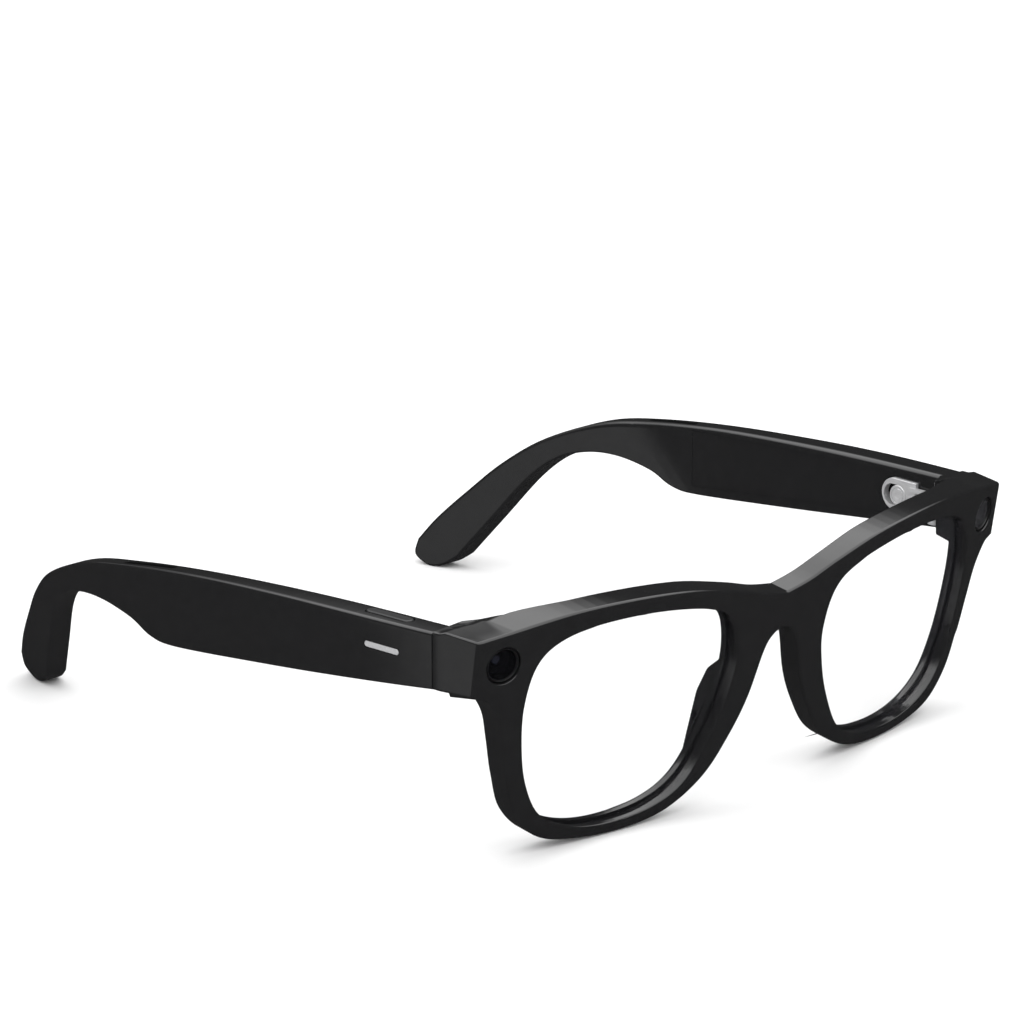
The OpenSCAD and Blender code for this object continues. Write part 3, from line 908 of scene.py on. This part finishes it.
def badge_bar(radius, depth, half):
    """A rounded bar across the outer face, from depth inside it outwards."""
    line = [(up, across) for across, up in stadium(2 * (half + radius), 2 * radius)]
    obj = filled("badge", [line])
    merge_fill(obj)
    thicken(obj, depth + 1.5)
    obj.data.transform(badge_matrix() @ Matrix.Translation((-depth, 0, 0)) @ ACROSS)
    recalculate(obj)
    return obj


# ---------------------------------------------------------------- small parts

def window_pieces():
    """The camera on the wearer's right and the light on the left, piece by piece."""
    spot = window_matrix()
    # The ring stands just under the face, with a narrow trench between it and the bore.
    ring = [(2.95, -2.4), (3.48, -2.4), (3.48, -1.0), (3.24, -0.9), (3.22, -0.55), (3.18, -0.42), (3.1, -0.34),
            (3.03, -0.36), (2.98, -0.46), (2.95, -0.62), (2.95, -2.4)]
    glass = [(0, -1.4), (2.9, -1.4), (2.93, -1.37), (2.93, -0.8), (2.86, -0.72), (0, -0.7)]
    return spot, ring, glass


def make_camera():
    spot, ring, glass = window_pieces()
    pieces = [
        (turned(ring, spot, 96), "camera_ring", "matt_black", satin_finish(), "camera_bezel"),
        (turned(glass, spot, 96), "camera_glass", "dark_glass",
         see_through("camera_glass", (0.004, 0.004, 0.005), 0.55, 0.85), "camera_window"),
        (turned([(1.35, -5.4), (2.5, -5.4), (2.5, -2.65), (2.4, -2.52), (2.15, -2.5), (2.1, -2.62), (1.95, -2.62),
                 (1.85, -2.9), (1.7, -2.9), (1.62, -3.1), (1.35, -3.1), (1.35, -5.4)], spot, 96),
         "camera_tube", "matt_black", satin_finish(), "camera_barrel"),
        (turned([(0, -5.2), (1.33, -5.2), (1.33, -3.25), (1.25, -3.12), (1.0, -2.98), (0.7, -2.88), (0.35, -2.82),
                 (0, -2.8)], spot, 96), "camera_eye", "dark_glass",
         coated_painted_glint_finish(), "camera_lens"),
    ]
    for obj, name, slot, material, node in pieces:
        flip_side(obj)
        settle(obj, name, "front", slot, material, [node])
    carry_over("camera_board", board_finish())


def make_light():
    spot, ring, glass = window_pieces()
    steps = [(0, -4.4), (2.3, -4.4), (2.3, -2.45), (2.16, -2.3)]
    # Fine rings, moulded one inside the other, spread the light.
    for k in range(6):
        r = 2.1 - 0.33 * k
        steps += [(r, -2.2 + 0.04 * k), (r - 0.14, -2.04 + 0.04 * k), (r - 0.27, -2.17 + 0.04 * k)]
    steps.append((0, -1.86))
    pieces = [
        (turned(ring, spot, 96), "light_ring", "matt_black", satin_finish(), "light_bezel"),
        (turned(glass, spot, 96), "light_glass", "window_glass",
         see_through("light_glass", (0.06, 0.06, 0.065), 0.25, 0.6), "light_window"),
        (turned(steps, spot, 96), "light_lens", "window_glass",
         finish("frosted_dome", (0.1, 0.1, 0.105), (0.16, 0.24), grain=1600, bump=0.1, ior=1.5), "light_dome"),
    ]
    for obj, name, slot, material, node in pieces:
        settle(obj, name, "front", slot, material, [node])
    carry_over("light_board", board_finish())


def carry_over(node, material):
    """Gives a CAD node that stays a finish of its own."""
    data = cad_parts[node].data
    data.materials.clear()
    data.materials.append(material)


def make_cover(side):
    """The panel let into the inner face, flush with it all along."""
    obj = cover_block(0.05, 0.0, 0.98)
    for y in (76, 80.6):
        cut(obj, (0, y - shape().front_offset, 0), (0, 1, 0))
    for v in obj.data.vertices:
        local = temple_matrix().inverted() @ v.co
        if local.x < 0.5:
            v.co.x = inner_face(v.co.y + shape().front_offset, v.co.z)
    round_edges(obj, corners_alike, 0.06, segments=2)
    if side == "right":
        flip_side(obj)
    settle(obj, side + "_cover", side + "_temple", "gloss_black", shell_finish(), [side + "_inner_cover"])


def make_badge(side):
    obj = badge_bar(0.55, 0.3, 3.6)
    # Its outer side is moved to lie flush with the temple.
    reach = (badge_matrix().inverted() @ Vector((outer_face(29, 38.2), 29 - shape().front_offset, 38.2))).x
    inner = badge_matrix().inverted()
    for v in obj.data.vertices:
        local = inner @ v.co
        if local.x > 0.2:
            v.co = badge_matrix() @ Vector((reach, local.y, local.z))
    round_edges(obj, corners_alike, 0.12, segments=3)
    if side == "right":
        flip_side(obj)
    settle(obj, side + "_plate", side + "_temple", "steel", trim_finish(), [side + "_badge"])


def make_hinge(side):
    """The temple leaf: a plate with a round rear end, and the fins that reach the pin."""
    plate = hinge_plate(0.0, 1.4)
    round_edges(plate, corners_alike, 0.16, segments=3)
    if side == "left":
        well = filled("well", [stadium(4.3 + 1.6, 4.3, 20)])
        thicken(well, 3)
        well.data.transform(switch_matrix() @ Matrix.Translation((0, 0.8, 0.5)) @ LAID)
        carve(plate, [well])
    pitch = LEAF_HEIGHT / KNUCKLES
    fins = []
    for i in (1, 3, 5):
        low = (i - KNUCKLES / 2) * pitch + 0.05
        high = low + pitch - 0.1
        knuckle = turned([(0.74, low), (1.62, low), (1.7, low + 0.08), (1.7, high - 0.08), (1.62, high), (0.74, high),
                          (0.74, low)], pin_matrix(), 48)
        web = block((0.9, 6.9, high - low), pin_matrix() @ Matrix.Translation((0.6, 0.9, low)))
        fins += [knuckle, web]
    obj = joined([plate] + fins)
    if side == "right":
        flip_side(obj)
    settle(obj, side + "_temple_leaf", side + "_temple", "steel", metal_finish(), [side + "_temple_hinge"])
    for node, name, body in (("_front_hinge", "_front_leaf", "front"), ("_hinge_pin", "_pin", "front"),
                             ("_hinge_screws", "_screws", side + "_temple")):
        small = softened(side + node, 0.06)
        settle(small, side + name, body, "steel", metal_finish(), [side + node])


def make_controls():
    button = filled("button", [stadium(11, 2.4, 16)])
    merge_fill(button)
    thicken(button, 1.35)
    round_edges(button, lambda edge, angle: 1.0 if angle > 1 and (edge.verts[0].co.y + edge.verts[1].co.y) < 0.1
                else 0, 0.34, segments=4)
    button.data.transform(button_matrix() @ Matrix.Translation((0, 0, 0.55)) @ LAID)
    flip_side(button)
    settle(button, "shutter_button", "button", "matt_black", satin_finish(), ["capture_button"])
    cap = turned([(0, -2.4), (0.7, -2.4), (0.7, -1.3), (2.1, -1.3), (2.1, 0.02), (2.02, 0.12), (1.9, 0.15),
                  (1.62, 0.15), (1.57, 0.11), (1.55, 0.02), (1.45, 0.02), (1.43, 0.11), (1.38, 0.15),
                  (0.62, 0.14), (0.56, 0.09), (0, 0.08)], switch_matrix(), 96)
    settle(cap, "slide_switch", "switch", "steel", metal_finish(), ["power_switch"])


def make_vents(side):
    """A grille of narrow bars in the vent's slot."""
    place = vent_matrix(-0.85)
    sheet = filled("grille", [stadium(13.9, 1.44, 12)])
    thicken(sheet, 0.3)
    sheet.data.transform(place @ LAID)
    holes = [rod(0.34, -1, 1, place @ Matrix.Translation((0, -6 + k * 1.09, 0)), 24) for k in range(12)]
    carve(sheet, holes)
    if side == "right":
        flip_side(sheet)
    settle(sheet, side + "_grille", side + "_temple", "matt_black", satin_finish(), [side + "_speaker_grille"])


# ---------------------------------------------------------------- add-on classes

class Maker:
    """What every operator here shares."""

    bl_options = {"REGISTER", "UNDO"}

    def execute(self, context):
        self.make()
        return {"FINISHED"}


class GLASSES_OT_front(Maker, bpy.types.Operator):
    """Build the bowed front frame"""

    bl_idname = "glasses.front"
    bl_label = "Front frame"

    def make(self):
        make_frame()


class GLASSES_OT_lenses(Maker, bpy.types.Operator):
    """Build the two clear lenses"""

    bl_idname = "glasses.lenses"
    bl_label = "Lenses"

    def make(self):
        for side in ("left", "right"):
            make_lens(side)


class GLASSES_OT_pads(Maker, bpy.types.Operator):
    """Build the nose pads, and give their microphone and the charging contacts their finishes"""

    bl_idname = "glasses.pads"
    bl_label = "Nose pads and contacts"

    def make(self):
        for side in ("left", "right"):
            make_pad(side)
        carry_over("nose_microphone", metal_finish())
        carry_over("contact_holder", satin_finish())
        carry_over("left_contact", gold_finish())
        carry_over("right_contact", gold_finish())
        carry_over("front_cable", gold_finish())


class GLASSES_OT_windows(Maker, bpy.types.Operator):
    """Build the camera and the light"""

    bl_idname = "glasses.windows"
    bl_label = "Camera and light"

    def make(self):
        make_camera()
        make_light()


class GLASSES_OT_temples(Maker, bpy.types.Operator):
    """Build the temple shells and their inner covers"""

    bl_idname = "glasses.temples"
    bl_label = "Temples"

    def make(self):
        for side in ("left", "right"):
            make_temple(side)
            make_cover(side)
            make_badge(side)
            make_vents(side)


class GLASSES_OT_hinges(Maker, bpy.types.Operator):
    """Build the hinges"""

    bl_idname = "glasses.hinges"
    bl_label = "Hinges"

    def make(self):
        for side in ("left", "right"):
            make_hinge(side)


class GLASSES_OT_controls(Maker, bpy.types.Operator):
    """Build the capture button and the power switch"""

    bl_idname = "glasses.controls"
    bl_label = "Controls"

    def make(self):
        make_controls()


class GLASSES_OT_inside(Maker, bpy.types.Operator):
    """Give the hidden electronics their finishes"""

    bl_idname = "glasses.inside"
    bl_label = "Electronics"

    def make(self):
        for side in ("left", "right"):
            carry_over(side + "_speaker", satin_finish())
            carry_over(side + "_microphone", metal_finish())
            carry_over(side + "_battery", foil_finish())
        carry_over("main_board", board_finish())
        carry_over("switch_board", board_finish())
        carry_over("processor_shield", metal_finish())
        carry_over("button_switch", metal_finish())
        carry_over("touch_strip", gold_finish())


class GLASSES_OT_stage(Maker, bpy.types.Operator):
    """Set out the pale floor, the soft light and the camera"""

    bl_idname = "glasses.stage"
    bl_label = "Stage"

    def make(self):
        make_floor()
        make_light_room()
        make_view()


def make_floor():
    bpy.ops.object.select_all(action="DESELECT")
    bpy.ops.mesh.primitive_grid_add(x_subdivisions=8, y_subdivisions=8, size=12)
    floor = bpy.context.object
    floor.name = "floor"
    floor.data.materials.append(finish("pale_floor", colours().floor, (0.75, 0.85), grain=900, bump=0.001, tones=0.01,
                                       specular_ior_level=0.1))
    floor.visible_glossy = False


# Soft patches of light round the object: direction, half width and soft edge in degrees, brightness.
SOFT_BOXES = [
    ((0.0, 0.0, 1.0), 53, 8, 2.4),
    ((-0.93, 0.3, -0.14), 22, 4, 0.42),
    ((0.48, 0.77, 0.42), 10, 6, 0.4),
]
ROOM = 0.03
# What the floor and the matt surfaces receive from all round, and their share of the soft boxes.
FILL, BOX_SHARE = 1.0, 0.3


def make_light_room():
    """A dim pale room with soft boxes, made in the world's own nodes."""
    world = bpy.data.worlds.new("studio")
    bpy.context.scene.world = world
    world.use_nodes = True
    nodes, links = world.node_tree.nodes, world.node_tree.links
    toward = nodes.new("ShaderNodeTexCoord")
    total = None
    for direction, width, edge, brightness in SOFT_BOXES:
        dot = nodes.new("ShaderNodeVectorMath")
        dot.operation = "DOT_PRODUCT"
        dot.inputs[1].default_value = Vector(direction).normalized()
        links.new(toward.outputs["Generated"], dot.inputs[0])
        patch = nodes.new("ShaderNodeMapRange")
        patch.interpolation_type = "SMOOTHSTEP"
        patch.inputs["From Min"].default_value = math.cos(math.radians(width + edge))
        patch.inputs["From Max"].default_value = math.cos(math.radians(width - edge))
        patch.inputs["To Max"].default_value = brightness
        links.new(dot.outputs["Value"], patch.inputs["Value"])
        add = nodes.new("ShaderNodeMath")
        add.operation = "ADD"
        links.new(patch.outputs["Result"], add.inputs[0])
        if total:
            links.new(total, add.inputs[1])
        else:
            add.inputs[1].default_value = ROOM
        total = add.outputs["Value"]
    fill = nodes.new("ShaderNodeMath")
    fill.operation = "MULTIPLY_ADD"
    fill.inputs[1].default_value, fill.inputs[2].default_value = BOX_SHARE, FILL
    links.new(total, fill.inputs[0])
    ray = nodes.new("ShaderNodeLightPath")
    choose = nodes.new("ShaderNodeMix")
    links.new(ray.outputs["Is Glossy Ray"], choose.inputs["Factor"])
    links.new(fill.outputs["Value"], choose.inputs["A"])
    links.new(total, choose.inputs["B"])
    links.new(choose.outputs["Result"], nodes["Background"].inputs["Strength"])
    nodes["Background"].inputs["Color"].default_value = (1, 1, 1, 1)


def make_view():
    data = bpy.data.cameras.new("view")
    data.sensor_width = 36
    data.lens = 154.5
    camera = bpy.data.objects.new("view", data)
    bpy.context.collection.objects.link(camera)
    back = Vector((-0.67604266, -0.67960791, 0.28477958))
    right = Vector((0.70895108, -0.70525766, 0)).normalized()
    up = back.cross(right)
    place = Matrix((right, up, back)).transposed().to_4x4()
    place.translation = Vector((-0.57443, -0.58234, 0.28121))
    camera.matrix_world = place
    bpy.context.scene.camera = camera
    bpy.context.scene.view_settings.view_transform = "Standard"


STEPS = (GLASSES_OT_front, GLASSES_OT_lenses, GLASSES_OT_pads, GLASSES_OT_windows, GLASSES_OT_temples,
         GLASSES_OT_hinges, GLASSES_OT_controls, GLASSES_OT_inside, GLASSES_OT_stage)


class GLASSES_PT_panel(bpy.types.Panel):
    """The sidebar list of pieces"""

    bl_idname = "GLASSES_PT_panel"
    bl_label = "Smart glasses"
    bl_space_type = "VIEW_3D"
    bl_region_type = "UI"
    bl_category = "Glasses"

    def draw(self, context):
        column = self.layout.column(align=True)
        for step in STEPS:
            column.operator(step.bl_idname)
        for group in (context.scene.glasses_shape, context.scene.glasses_colours):
            for name in group.__annotations__:
                column.prop(group, name)


CLASSES = (GlassesShape, GlassesColours, *STEPS, GLASSES_PT_panel)


def register():
    for cls in CLASSES:
        bpy.utils.register_class(cls)
    bpy.types.Scene.glasses_shape = bpy.props.PointerProperty(type=GlassesShape)
    bpy.types.Scene.glasses_colours = bpy.props.PointerProperty(type=GlassesColours)


def unregister():
    del bpy.types.Scene.glasses_shape
    del bpy.types.Scene.glasses_colours
    for cls in reversed(CLASSES):
        bpy.utils.unregister_class(cls)


def main():
    register()
    bpy.ops.object.select_all(action="DESELECT")
    for step in STEPS:
        group, name = step.bl_idname.split(".")
        getattr(getattr(bpy.ops, group), name)()


if __name__ == "__main__":
    main()
